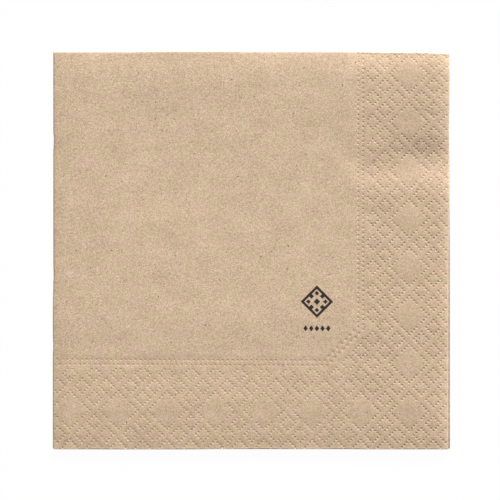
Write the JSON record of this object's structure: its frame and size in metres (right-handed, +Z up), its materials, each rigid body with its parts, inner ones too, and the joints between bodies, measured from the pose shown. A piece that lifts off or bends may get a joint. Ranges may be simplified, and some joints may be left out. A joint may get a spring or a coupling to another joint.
{
  "type": "paper napkin",
  "caption": "Square kraft-brown tissue napkin folded into quarters, with an embossed border of small diamonds along its two cut edges and a double line on the inner side.",
  "frame": {"origin": "middle of the underside of the folded napkin, on the surface that it lies on", "axes": "+X to the right cut edges (the second fold is at -X), +Y to the first fold (the front cut edges are at -Y), +Z up through the folded leaves"},
  "size_m": [0.165, 0.165, 0.0022],
  "materials": {
    "kraft_tissue": "matte"
  },
  "bodies": {
    "root": {"napkin": "kraft_tissue"}
  },
  "joints": []
}
